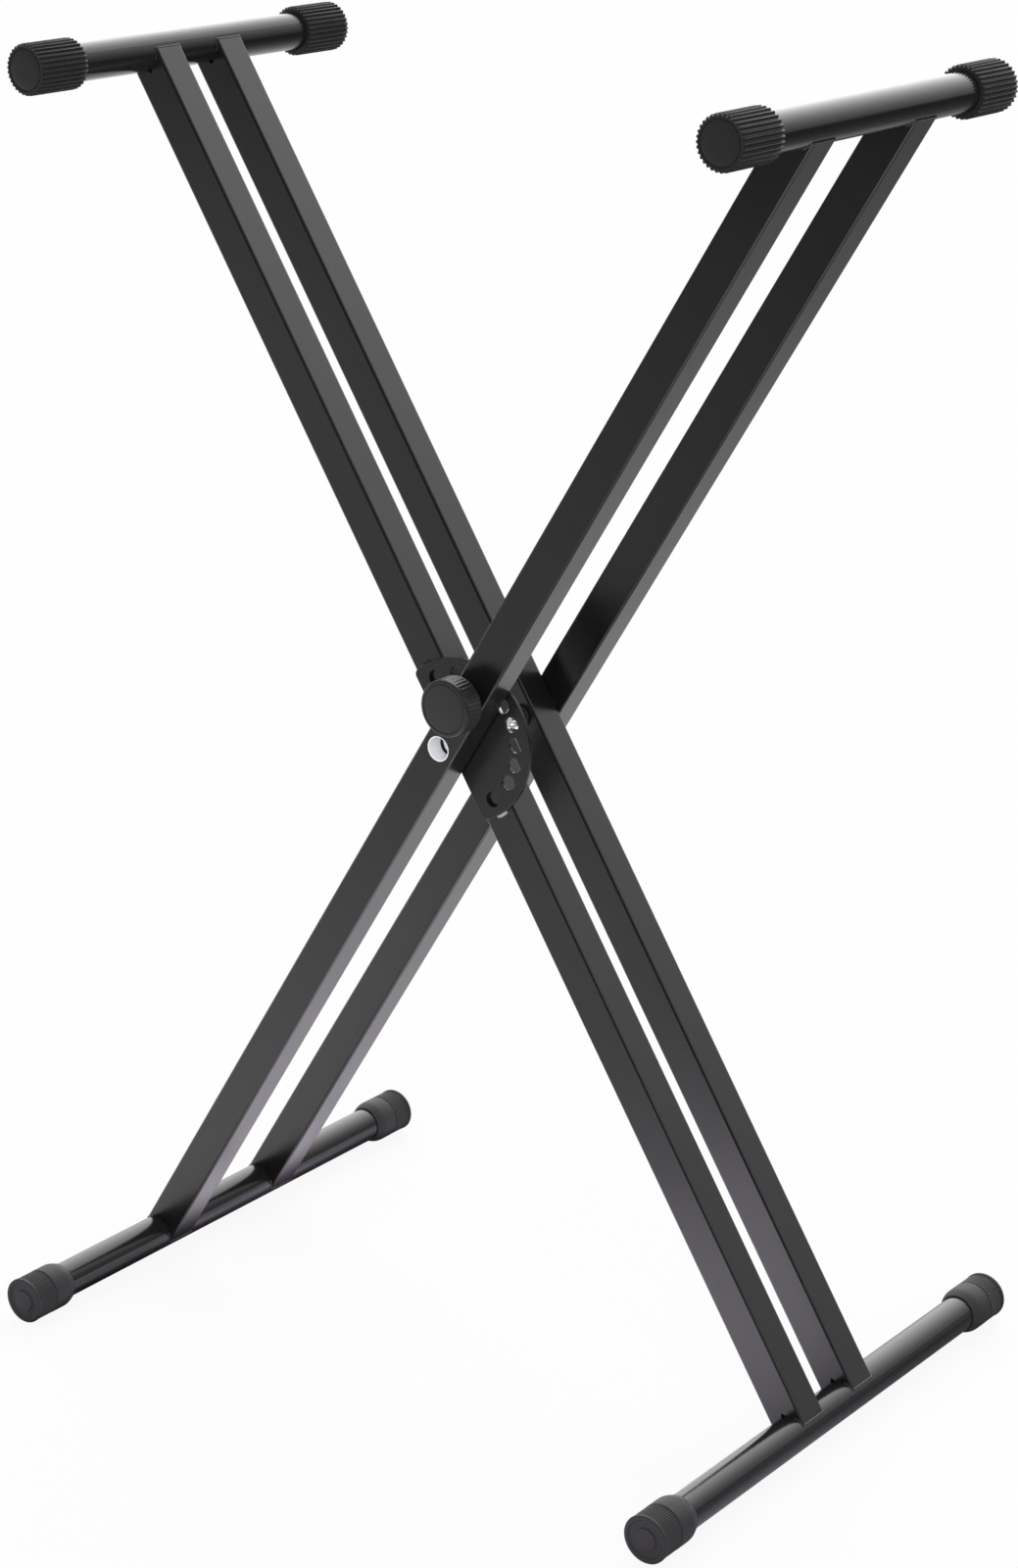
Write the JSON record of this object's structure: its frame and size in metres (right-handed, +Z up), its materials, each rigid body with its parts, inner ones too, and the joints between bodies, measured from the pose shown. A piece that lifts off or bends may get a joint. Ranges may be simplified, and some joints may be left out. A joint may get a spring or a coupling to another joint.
{
  "type": "keyboard stand",
  "caption": "Folding X stand with paired square legs on a notched pivot plate, a pull knob, ribbed rubber caps on its top tubes and rubber feet on its floor tubes.",
  "frame": {"origin": "on the floor, straight under the pivot, at the middle of the stand", "axes": "+X to the right as the player's side shows it, +Y from the knob's side to the back, +Z up"},
  "size_m": [0.5656, 0.415, 0.8795],
  "materials": {
    "leg_paint": "satin black powder coat with a fine grain",
    "rod_paint": "smooth semi-gloss black powder coat",
    "plate_paint": "satin black powder coat",
    "cap_rubber": "matt black moulded rubber",
    "foot_rubber": "matt black moulded rubber",
    "knob_plastic": "matt black moulded plastic",
    "zinc_plate": "bright zinc plate",
    "spring_steel": "plain spring steel"
  },
  "bodies": {
    "outer_frame": {"outer_leg_front": "leg_paint", "outer_leg_back": "leg_paint", "outer_top_rod": "rod_paint", "outer_bottom_rod": "rod_paint", "outer_top_cap_front": "cap_rubber", "outer_top_cap_back": "cap_rubber", "outer_foot_front": "foot_rubber", "outer_foot_back": "foot_rubber", "front_bolt_cup": "zinc_plate", "back_bolt_cup": "zinc_plate", "front_pivot_bolt": "zinc_plate", "back_pivot_bolt": "zinc_plate", "front_pivot_nut": "zinc_plate", "back_pivot_nut": "zinc_plate", "nut_washers": "zinc_plate", "plunger_housing": "plate_paint", "housing_cap": "plate_paint", "plunger_nut": "plate_paint", "plunger_spring": "spring_steel"},
    "inner_frame": {"inner_leg_front": "leg_paint", "inner_leg_back": "leg_paint", "inner_top_rod": "rod_paint", "inner_bottom_rod": "rod_paint", "inner_top_cap_front": "cap_rubber", "inner_top_cap_back": "cap_rubber", "inner_foot_front": "foot_rubber", "inner_foot_back": "foot_rubber", "front_pivot_bush": "zinc_plate", "back_pivot_bush": "zinc_plate", "back_spacer": "zinc_plate", "lock_plate": "plate_paint"},
    "lock_knob": {"lock_pin": "zinc_plate", "pin_collar": "spring_steel", "pull_knob": "knob_plastic"}
  },
  "joints": [
    {"name": "fold", "type": "hinge", "parent": "outer_frame", "child": "inner_frame", "pos_m": [0, 0, 0.43952], "axis": [0, 1, 0], "range_deg": [-90, 60.3]},
    {"name": "knob_pull", "type": "slide", "parent": "outer_frame", "child": "lock_knob", "axis": [0, -1, 0], "range_m": [0, 0.008], "stiffness_N_per_m": 900, "springref_m": -0.006, "deforming": ["plunger_spring"]}
  ]
}
